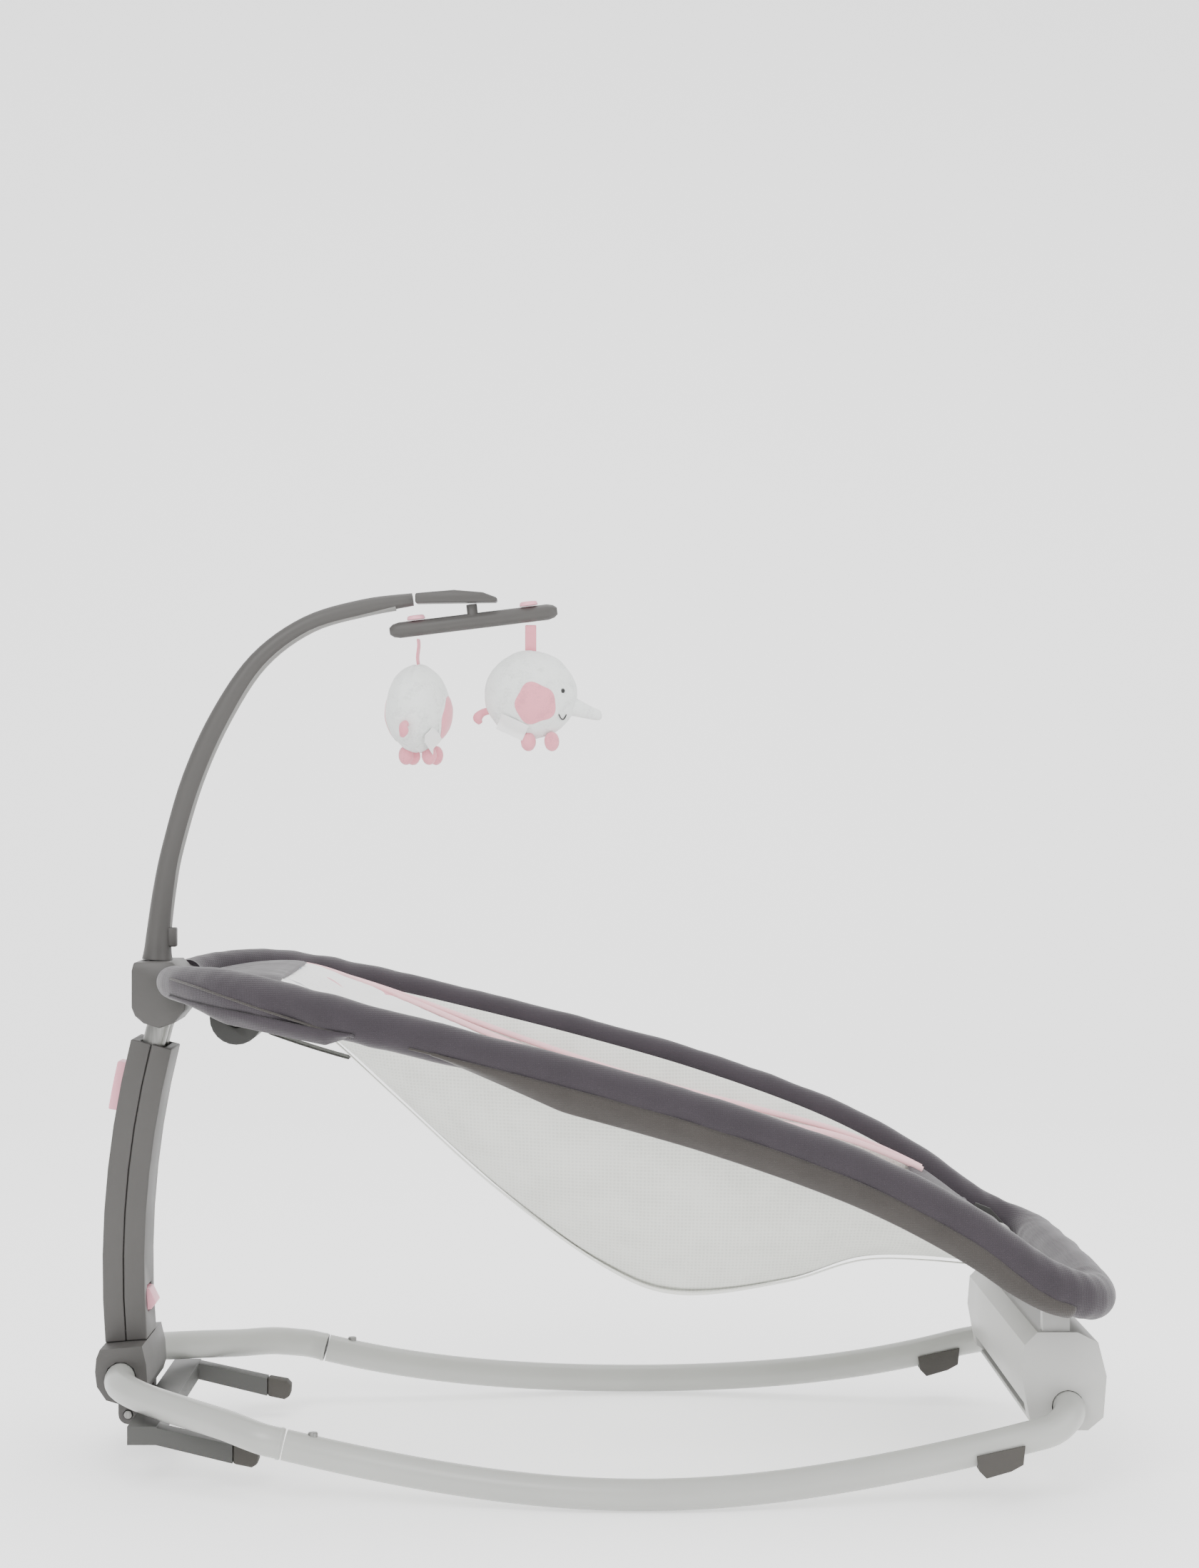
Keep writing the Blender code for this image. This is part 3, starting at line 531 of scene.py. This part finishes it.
for x, y, z, radius in line[12:-3]:
    inward = (TOWARDS - Vector((x, y, z))).normalized()
    strip.append(Vector((x, y, z)) + inward * (radius * 0.62))
hand_over(bent_tube("arch_strip", strip, 0.0046, ARCH_STRIP, [0.0046] * len(strip)), "arch", "leg_grey")
print("arch drawn")

# %% [markdown]
# ## The seat's own curve
# All the cloth hangs from the two side rails. One function gives any point of the hanging seat from
# its place along the rocker and across it, so the mesh, the liner and the straps share one shape.
# The middle line sags under its own slack, and the sides rise in a steep curve to the rails.

# %% The curve of the hanging seat
RAIL = [(-0.3530, 0.0345, 0.3880), (-0.3515, 0.0580, 0.3885), (-0.3430, 0.0850, 0.3890),
        (-0.3270, 0.1110, 0.3885), (-0.3040, 0.1370, 0.3870), (-0.2770, 0.1590, 0.3835),
        (-0.2460, 0.1770, 0.3780), (-0.1950, 0.1940, 0.3675), (-0.137, 0.202, 0.354),
        (-0.0285, 0.207, 0.3265), (0.080, 0.207, 0.2955), (0.189, 0.204, 0.256),
        (0.270, 0.201, 0.214), (0.324, 0.195, 0.175), (0.348, 0.190, 0.162),
        (0.367, 0.178, 0.155), (0.377, 0.155, 0.152), (0.379, 0.115, 0.152)]
SAG = [(-0.316, 0.384), (-0.262, 0.376), (-0.224, 0.346), (-0.168, 0.293), (-0.087, 0.217),
       (0.000, 0.152), (0.060, 0.130), (0.145, 0.142), (0.215, 0.163), (0.318, 0.160)]
RAIL_LINE = smooth_path(RAIL, 8)
SAG_LINE = smooth_path(SAG, 10)


def read_line(line, x, column):
    """The value in a column of a line, at a place along the rocker."""
    for a, b in zip(line, line[1:]):
        if x <= b[0]:
            return a[column] + (b[column] - a[column]) * max(0.0, (x - a[0]) / (b[0] - a[0]))
    return line[-1][column]


def half_width(x):
    """Half the width of the cloth at a place along the rocker; it stops short of the rail."""
    slope = (read_line(RAIL_LINE, x + 0.003, 1) - read_line(RAIL_LINE, x - 0.003, 1)) / 0.006
    return read_line(RAIL_LINE, x, 1) - 0.0195 * sqrt(1 + slope ** 2)


def seat_point(x, across, lift=0.0):
    """A point of the seat; across runs from -1 at the right rail to 1 at the left one."""
    middle = read_line(SAG_LINE, x, 1)
    half = half_width(x)
    top = read_line(RAIL_LINE, x, 2)
    rise = (top - middle) * abs(across) ** 2.4
    return Vector((x, across * half, middle + rise + lift))


def seat_normal(x, across):
    """The direction straight up out of the cloth."""
    along = seat_point(x + 0.002, across) - seat_point(x - 0.002, across)
    over = seat_point(x, min(1, across + 0.01)) - seat_point(x, across - 0.01)
    return along.cross(over).normalized()


def grid_piece(name, cells, place, thickness, material, levels=1):
    """A grid laid out by a function, given a thickness and smoothed."""
    bpy.ops.object.select_all(action="DESELECT")
    bpy.ops.mesh.primitive_grid_add(x_subdivisions=cells[0], y_subdivisions=cells[1], size=2)
    item = bpy.context.object
    for vert in item.data.vertices:
        vert.co = place((vert.co.x + 1) / 2, (vert.co.y + 1) / 2)
    outward(item)
    if thickness:
        add_modifier(item, "SOLIDIFY", thickness=thickness, offset=0, use_even_offset=True)
    if levels:
        add_modifier(item, "SUBSURF", levels=levels, render_levels=levels)
    apply_all(item)
    return settle(item, name, material, 60)

# %% [markdown]
# ## The mesh seat
# The outside of the seat is a spacer mesh that lets air through. It is a sheet hung between the
# rails, so it is made as a fine grid on the seat's curve. Shallow pulls run down from the rails,
# where the cloth is stitched, and fade towards the bottom.

# %% Hang the mesh
def hang_mesh(u, v):
    x = -0.316 + 0.634 * u
    across = -1 + 2 * v
    pull = sin(x * 95 + 2.0 * abs(across)) * 0.0011 * abs(across) ** 2 * (1 - abs(across) ** 6)
    soft = noise.noise(Vector((x * 9, across * 2, 3.1))) * 0.0022 * (1 - across ** 4)
    return seat_point(x, across) + seat_normal(x, across) * (pull + soft)


mesh_seat = grid_piece("mesh_seat", (96, 56), hang_mesh, 0.0016, MESH_CLOTH)
hand_over(mesh_seat, "seat", "mesh_cloth", "seat_hammock")


def seam_tape(name, side, across, width, material, lift):
    """A narrow tape that follows the seat from head to foot."""
    def place(u, v):
        x = -0.300 + 0.60 * u
        point = seat_point(x, side * across + (v - 0.5) * width / half_width(x))
        return point - seat_normal(x, side * across) * lift
    item = grid_piece(name, (90, 2), place, 0.0012, material)
    hand_over(item, "seat", "mesh_cloth")
    return item


for label, side in SIDES:
    seam_tape("seat_seam_" + label, side, 0.30, 0.010, HEM_CLOTH, 0.0036)

# %% [markdown]
# ## The padded rim
# A sleeve of dark cloth with thin foam in it covers the rail, from the head hub round the foot end.
# It is one tube on the curve of the rail. The foam is softer than the steel, so the tube swells and
# pinches a little, and it gathers into short folds where the rail turns the corners.

# %% Draw the rim sleeve
RIM_SIZE = [(-0.353, 0.0125), (-0.335, 0.0150), (-0.300, 0.0185), (-0.250, 0.0175), (-0.190, 0.0155),
            (-0.100, 0.0148), (0.100, 0.0150), (0.250, 0.0160), (0.340, 0.0174), (0.390, 0.0176)]


def rim_radius(x):
    return read_line(RIM_SIZE, x, 1)


right_half = [(x, -y, z) for x, y, z in [(-0.3526, 0.0390, 0.3882)] + RAIL[1:]]
left_half = [(x, -y, z) for x, y, z in reversed(right_half)]
rim_line = smooth_path(right_half + [(0.380, 0.0, 0.152)] + left_half, 12)
rim = bent_tube("seat_rim", rim_line, 0.015, RAIL_CLOTH, [rim_radius(p[0]) for p in rim_line], sides=14)
for vert in rim.data.vertices:
    spot = vert.co
    corner = max(0.0, 1 - abs(spot.x - 0.352) / 0.05)
    near_head = max(0.0, 1 - abs(spot.x + 0.24) / 0.09)
    folds = sin(spot.x * 330 + spot.y * 260) * 0.0003 * corner
    swell = noise.noise(spot * 26) * 0.0011 + noise.noise(spot * 75) * 0.0004
    tuck = sin(spot.x * 190 + spot.z * 120) * 0.0006 * near_head
    vert.co = spot + vert.normal * (folds + swell + tuck)
hand_over(rim, "seat", "rail_cloth", "rail_pad_right", "rail_pad_left", "foot_pad")
for node_name in ("seat_rail_right", "seat_rail_left", "seat_foot_tube"):
    frame["nodes"][node_name].data.materials.clear()
    frame["nodes"][node_name].data.materials.append(STEEL)
print("rim sleeve", len(rim.data.polygons), "faces")

# %% [markdown]
# ## Side panels, head wings and seams
# Under the sleeve a second, browner cloth covers the edge of the mesh. It starts about a third of the
# way down the rocker and runs round the foot end. At the head a wing of the rim cloth does the same.
# Each is a band whose section turns in under the rail. A fine cord marks the seam between the two.

# %% Bands under the rim
def rim_frame(x, side):
    """The middle of the rail and the direction out of the seat, seen from above."""
    y, z = read_line(RAIL_LINE, x, 1), read_line(RAIL_LINE, x, 2)
    slope = (read_line(RAIL_LINE, x + 0.002, 1) - read_line(RAIL_LINE, x - 0.002, 1)) / 0.004
    out = Vector((-slope, 1, 0)).normalized()
    return Vector((x, side * y, z)), Vector((out.x, side * out.y, 0))


def under_rim(x, side, drop, out_by):
    middle, out = rim_frame(x, side)
    return middle + out * out_by - Vector((0, 0, drop))


def band(name, side, x_low, x_high, depth, material, slot):
    """A padded strip below the rim; depth gives how far it hangs at each place."""
    def place(u, v):
        x = x_low + (x_high - x_low) * u
        size = rim_radius(x)
        fall = depth(x)
        drop = size * 0.55 + fall * v
        out = size * 0.86 - 0.008 * v ** 1.5 + 0.0016 * sin(pi * v)
        ripple = noise.noise(Vector((x * 40, v * 2, side))) * 0.0007
        return under_rim(x, side, drop, out + ripple)
    item = grid_piece(name, (80, 10), place, 0.0030, material)
    return hand_over(item, "seat", slot)


def panel_depth(x):
    grow = min(1.0, max(0.02, (x + 0.135) / 0.10))
    fade = min(1.0, max(0.0, (0.350 - x) / 0.05)) * 0.5 + 0.5
    return 0.0195 * grow * fade


def wing_depth(x):
    rise = min(1.0, max(0.05, (x + 0.340) / 0.05))
    fall = min(1.0, max(0.05, (-0.192 - x) / 0.022))
    return 0.0125 * min(rise, fall)


for label, side in SIDES:
    item = band("side_panel_" + label, side, -0.135, 0.350, panel_depth, PANEL_CLOTH, "rail_cloth")
    item = band("head_wing_" + label, side, -0.337, -0.190, wing_depth, RAIL_CLOTH, "rail_cloth")


def seam_cord(name, points, material, slot, thick=0.0009):
    return hand_over(bent_tube(name, points, thick, material, sides=2), "seat", slot)


for label, side in SIDES:
    line = []
    for i in range(60):
        x = -0.150 + 0.500 * i / 59
        size = rim_radius(x)
        line.append(under_rim(x, side, size * 0.56, size * 0.86))
    seam_cord("rim_seam_" + label, line, PANEL_CLOTH, "rail_cloth")
    line = []
    for i in range(30):
        x = -0.335 + 0.142 * i / 29
        size = rim_radius(x)
        turn = radians(22 - 64 * i / 29)
        line.append(under_rim(x, side, -size * sin(turn) * 1.02, size * cos(turn) * 1.02))
    seam_cord("wing_seam_" + label, line, PANEL_CLOTH, "rail_cloth", 0.0010)
head_edge = [seat_point(-0.316, -0.97 + 1.94 * i / 40, 0.001) for i in range(41)]
binding = bent_tube("head_binding", head_edge, 0.0042, RAIL_CLOTH, sides=6)
hand_over(binding, "seat", "rail_cloth")
foot_edge = [seat_point(0.318, -0.97 + 1.94 * i / 40, 0.001) for i in range(41)]
hand_over(bent_tube("foot_binding", foot_edge, 0.0036, RAIL_CLOTH, sides=6), "seat", "rail_cloth")

# %% [markdown]
# ## The liner
# The child lies on a thin padded liner with pink double piping round its edge. Padding is air and
# fibre held in by cloth, so the liner is inflated with the cloth simulation: a closed shell a little
# thinner than the real pad gets a small pressure, and no point may move further than the padding
# allows. The sewn channels are pressed in afterwards, because the simulation would fill them.

# %% Inflate the liner
def soft_inflate(item, pressure, cap, frames=14):
    """Swell a closed piece with the cloth simulation, and limit how far each point moves."""
    before = [vert.co.copy() for vert in item.data.vertices]
    only(item)
    cloth = item.modifiers.new("cloth", "CLOTH")
    cloth.settings.use_pressure = True
    cloth.settings.uniform_pressure_force = pressure
    cloth.settings.quality = 4
    cloth.settings.mass = 0.3
    cloth.settings.tension_stiffness = 12
    cloth.settings.compression_stiffness = 12
    cloth.settings.bending_stiffness = 0.4
    cloth.settings.effector_weights.gravity = 0.0
    cloth.point_cache.frame_end = frames
    for number in range(1, frames + 1):
        bpy.context.scene.frame_set(number)
    bpy.ops.object.modifier_apply(modifier=cloth.name)
    bpy.context.scene.frame_set(1)
    for vert, start in zip(item.data.vertices, before):
        move = vert.co - start
        if move.length > cap:
            vert.co = start + move * (cap / move.length)


def lay_liner(u, v):
    x = -0.286 + 0.575 * u
    across = (-0.90 + 1.80 * v) * (1 - 0.10 * max(0.0, (abs(u - 0.5) * 2) ** 8))
    return seat_point(x, across, 0.0) + seat_normal(x, across) * 0.0098


liner = grid_piece("seat_liner_pad", (72, 42), lay_liner, 0.0060, LINER, 0)
add_modifier(liner, "REMESH", mode="VOXEL", voxel_size=0.0045, use_smooth_shade=True)
apply_all(liner)
soft_inflate(liner, 3.0, 0.004)
add_modifier(liner, "SMOOTH", factor=0.5, iterations=4)
apply_all(liner)

# %% Press the sewn channels and set the piping
SEAMS_ACROSS = (-0.58, 0.58)
SEAMS_ALONG = (-0.175, 0.020, 0.165)
for vert in liner.data.vertices:
    x = min(0.300, max(-0.302, vert.co.x))
    half = half_width(x)
    across = vert.co.y / half
    up = seat_normal(x, max(-0.95, min(0.95, across)))
    depth = (vert.co - seat_point(x, max(-1, min(1, across)))).dot(up)
    if depth < 0.0098:
        continue
    near = min(abs(across - seam) * half for seam in SEAMS_ACROSS)
    if abs(across) < 0.58:
        near = min(near, min(abs(x - seam) for seam in SEAMS_ALONG))
    vert.co -= up * 0.0022 * exp(-(near / 0.0055) ** 2)
    vert.co += up * noise.noise(vert.co * 30) * 0.0008
add_modifier(liner, "SUBSURF", levels=1, render_levels=1)
apply_all(liner)
settle(liner, "seat_liner_pad", LINER, 60)
hand_over(liner, "seat", "liner_cloth", "seat_liner")
print("liner", len(liner.data.polygons), "faces")

for label, side in SIDES:
    for row, (across, lift) in enumerate(((0.935, 0.0085), (0.905, 0.0105))):
        line = []
        for i in range(70):
            x = -0.268 + 0.545 * i / 69
            line.append(seat_point(x, side * across) + seat_normal(x, side * across) * lift)
        cord_piece = bent_tube(f"piping_{label}_{row + 1}", smooth_path(line, 2), 0.0027, PIPING_PINK,
                               sides=4)
        hand_over(cord_piece, "seat", "button_pink")



def border(name, x_low, x_high, lift_low, lift_high):
    """The dark cloth across an end of the seat, which covers the end of the liner."""
    def place(u, v):
        x = x_low + (x_high - x_low) * u
        across = (-1 + 2 * v) * 0.995
        lift = lift_low + (lift_high - lift_low) * u + 0.0012 * sin(pi * u)
        lift += noise.noise(Vector((x * 30, across * 5, 7.0))) * 0.0012
        return seat_point(x, across) + Vector((0, 0, lift * (1 - across ** 6)))
    item = grid_piece(name, (12, 48), place, 0.0036, RAIL_CLOTH)
    hand_over(item, "seat", "rail_cloth")


border("head_border", -0.338, -0.258, 0.003, 0.0190)
border("foot_border", 0.268, 0.345, 0.0190, 0.004)

# %% [markdown]
# ## Harness, strap and tags
# Webbing is flat and stiff, so it is modelled directly: a narrow grid on the seat's curve, with a
# thin wall. The three straps meet in the buckle. The battery unit hangs from a strap of its own.

# %% Straps
def webbing(name, node_name, x_low, x_high, across_low, across_high, lift, material):
    def place(u, v):
        x = x_low + (x_high - x_low) * u
        across = across_low + (across_high - across_low) * v
        return seat_point(x, across) + Vector((0, 0, lift + 0.0006 * sin(u * 9 + v * 7)))
    item = grid_piece(name, (24, 24), place, 0.0018, material)
    return hand_over(item, "seat", "webbing", node_name)


webbing("crotch_webbing", "crotch_strap", 0.100, 0.165, -0.10, 0.10, 0.0265, STRAP_GREY)
webbing("waist_webbing_right", "waist_strap_right", 0.060, 0.090, -0.66, -0.13, 0.0300, STRAP_GREY)
webbing("waist_webbing_left", "waist_strap_left", 0.060, 0.090, 0.13, 0.66, 0.0300, STRAP_GREY)


def unit_strap_place(u, v):
    x = -0.2795 + 0.0675 * u
    z = 0.3433 - 0.0215 * u - 0.0008 * sin(pi * u)
    return Vector((x, -0.012 + 0.024 * v, z))


hand_over(grid_piece("unit_webbing", (20, 6), unit_strap_place, 0.0018, WEBBING), "seat", "webbing",
          "unit_strap")

# %% [markdown]
# ## The plush toys
# Both toys are the same small round elephant in short-pile plush, hung by a ribbon from the toy bar.
# One is seen from the side and the other from behind. The body is a ball pressed thinner between its
# two sides, with a seam round the middle. Ear, feet, trunk and tail are added as separate pieces.

# %% One elephant
BODY = Vector((0.0385, 0.0250, 0.0368))


def on_side(x, z, side, lift):
    """A point on the flat side of the body."""
    inside = max(0.02, 1 - (x / BODY.x) ** 2 - (z / BODY.z) ** 2)
    return Vector((x, side * (BODY.y * sqrt(inside) + lift), z))


def plush_ball(name, place, size, material, seam=0.0):
    """A ball with soft dents; seam is the depth of a groove round its middle."""
    bpy.ops.object.select_all(action="DESELECT")
    bpy.ops.mesh.primitive_uv_sphere_add(segments=48, ring_count=32, radius=1)
    item = bpy.context.object
    for vert in item.data.vertices:
        direction = vert.co.normalized()
        grain = 1 + 0.03 * noise.noise(direction * 2.3 + Vector(place) * 50)
        grain += 0.008 * noise.noise(direction * 9)
        groove = seam * exp(-(direction.y / 0.05) ** 2)
        vert.co = Vector(place) + Vector((direction.x * size[0], direction.y * size[1],
                                          direction.z * size[2])) * (grain - groove)
    outward(item)
    return settle(item, name, material, 80)


def ear_patch(name, middle, scale, side, lift, material):
    """A rounded cloth patch that lies on the side of the body."""
    bpy.ops.object.select_all(action="DESELECT")
    bpy.ops.mesh.primitive_circle_add(vertices=56, radius=1, fill_type="TRIFAN")
    item = bpy.context.object
    bpy.ops.object.mode_set(mode="EDIT")
    bpy.ops.mesh.select_all(action="SELECT")
    bpy.ops.mesh.subdivide(number_cuts=3)
    bpy.ops.object.mode_set(mode="OBJECT")
    for vert in item.data.vertices:
        reach, turn = sqrt(vert.co.x ** 2 + vert.co.y ** 2), atan2(vert.co.y, vert.co.x)
        edge = 1 + 0.05 * cos(3 * turn + 0.6) - 0.05 * cos(5 * turn)
        puff = 0.0012 * (1 - reach ** 4)
        vert.co = on_side(middle[0] + scale * reach * edge * cos(turn),
                          middle[1] + scale * reach * edge * sin(turn), side, lift + puff)
    outward(item)
    add_modifier(item, "SOLIDIFY", thickness=0.0011, offset=0)
    apply_all(item)
    return settle(item, name, material, 80)


def tapered(name, points, sizes, material):
    line = smooth_path([(*p, s) for p, s in zip(points, sizes)], 6)
    return bent_tube(name, line, 0.004, material, [p[3] for p in line], sides=8)


def make_elephant(label, middle, turn):
    """Build an elephant round the origin, then turn it about the vertical and put it in place."""
    made = [plush_ball("elephant_body_" + label, (0, 0, 0), BODY, PLUSH, seam=0.03)]
    for side, name in SIDES_OF_TOY:
        rim_piece = ear_patch(f"ear_rim_{label}_{name}", (0.004, -0.0075), 0.0190, side, 0.0004, PLUSH)
        patch = ear_patch(f"ear_{label}_{name}", (0.004, -0.0075), 0.0165, side, 0.0012, EAR_PINK)
        for item in (rim_piece, patch):
            made.append(item)
        eye = on_side(0.0268, 0.0030, side, 0.0002)
        made.append(plush_ball(f"eye_{label}_{name}", eye, (0.0017, 0.0012, 0.0019), EYE_BLACK))
        smile = [on_side(0.0235 + 0.0062 * i / 8, -0.0165 - 0.0042 * sin(pi * i / 8), side, 0.0005)
                 for i in range(9)]
        made.append(bent_tube(f"smile_{label}_{name}", smile, 0.0005, EYE_BLACK, sides=2))
        for spot, part in ((-0.002, "hind"), (0.0175, "front")):
            foot = plush_ball(f"foot_{part}_{label}_{name}", (spot, side * 0.0100, -0.0385),
                              (0.0062, 0.0062, 0.0080), EAR_PINK)
            made.append(foot)
    trunk = [(0.0300, 0, -0.0080), (0.0400, 0, -0.0115), (0.0500, 0, -0.0150), (0.0570, 0, -0.0170),
             (0.0590, 0, -0.0172)]
    made.append(tapered("trunk_" + label, trunk, (0.0085, 0.0068, 0.0052, 0.0040, 0.0012), PLUSH))
    tail = [(-0.0350, 0, -0.0130), (-0.0405, 0.0005, -0.0150), (-0.0440, -0.0012, -0.0190),
            (-0.0420, 0.0008, -0.0230)]
    made.append(tapered("tail_" + label, tail, (0.0030, 0.0032, 0.0040, 0.0022), RIBBON_PINK))
    made.append(blank_tag("care_tag_" + label))
    spin = Matrix.Translation(middle) @ Matrix.Rotation(radians(turn), 4, "Z")
    for item in made:
        item.data.transform(spin)
        hand_over(item, "toy_" + label, "button_pink" if item.data.materials[0] == EAR_PINK else "plush")
    return made


def blank_tag(name):
    """A plain folded care tag, sewn in at the belly, with nothing on it."""
    bpy.ops.object.select_all(action="DESELECT")
    bpy.ops.mesh.primitive_grid_add(x_subdivisions=12, y_subdivisions=8, size=1)
    item = bpy.context.object
    for vert in item.data.vertices:
        u, v = vert.co.x, vert.co.y
        spot = Matrix.Rotation(radians(-24), 2) @ Vector((u * 0.0240, v * 0.0135))
        point = on_side(-0.0150 + spot.x, -0.0270 + spot.y, -1, 0.0024)
        vert.co = Vector((point.x, max(-0.0262, min(point.y, -0.0135)) - 0.0012 * (0.5 - v), point.z))
    outward(item)
    add_modifier(item, "SOLIDIFY", thickness=0.0006, offset=0)
    apply_all(item)
    return settle(item, name, TAG_WHITE, 60)


SIDES_OF_TOY = ((-1, "near"), (1, "far"))
TILT = radians(7.0)
BAR = Vector((-0.110, 0, 0.684))


def bar_point(reach, rise):
    return BAR + Vector((reach * cos(TILT) - rise * sin(TILT), 0, reach * sin(TILT) + rise * cos(TILT)))


for label, reach, turn in (("foot", 0.047, 0), ("head", -0.047, 76)):
    hook = bar_point(reach, -0.0068)
    middle = hook + Vector((0, 0, -0.024 - BODY.z + 0.0005))
    made = make_elephant(label, middle, turn)
    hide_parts("plush_toy_" + label)

    def ribbon_place(u, v):
        """A folded ribbon from round the bar down into the toy's back."""
        drop = 0.0034 - 0.0310 * u
        wide = (v - 0.5) * 0.0095 * (1 - 0.25 * max(0.0, u - 0.7))
        bow = 0.0005 * sin(3 * pi * u)
        flat = Vector((wide, bow, drop)) if label == "foot" else Vector((bow + 0.15 * wide, wide, drop))
        return hook + flat + Vector((0, 0, -0.0055))
    ribbon = grid_piece("toy_ribbon_" + label, (20, 6), ribbon_place, 0.0014, RIBBON_PINK)
    hand_over(ribbon, "toy_" + label, "button_pink")
print("toys made")
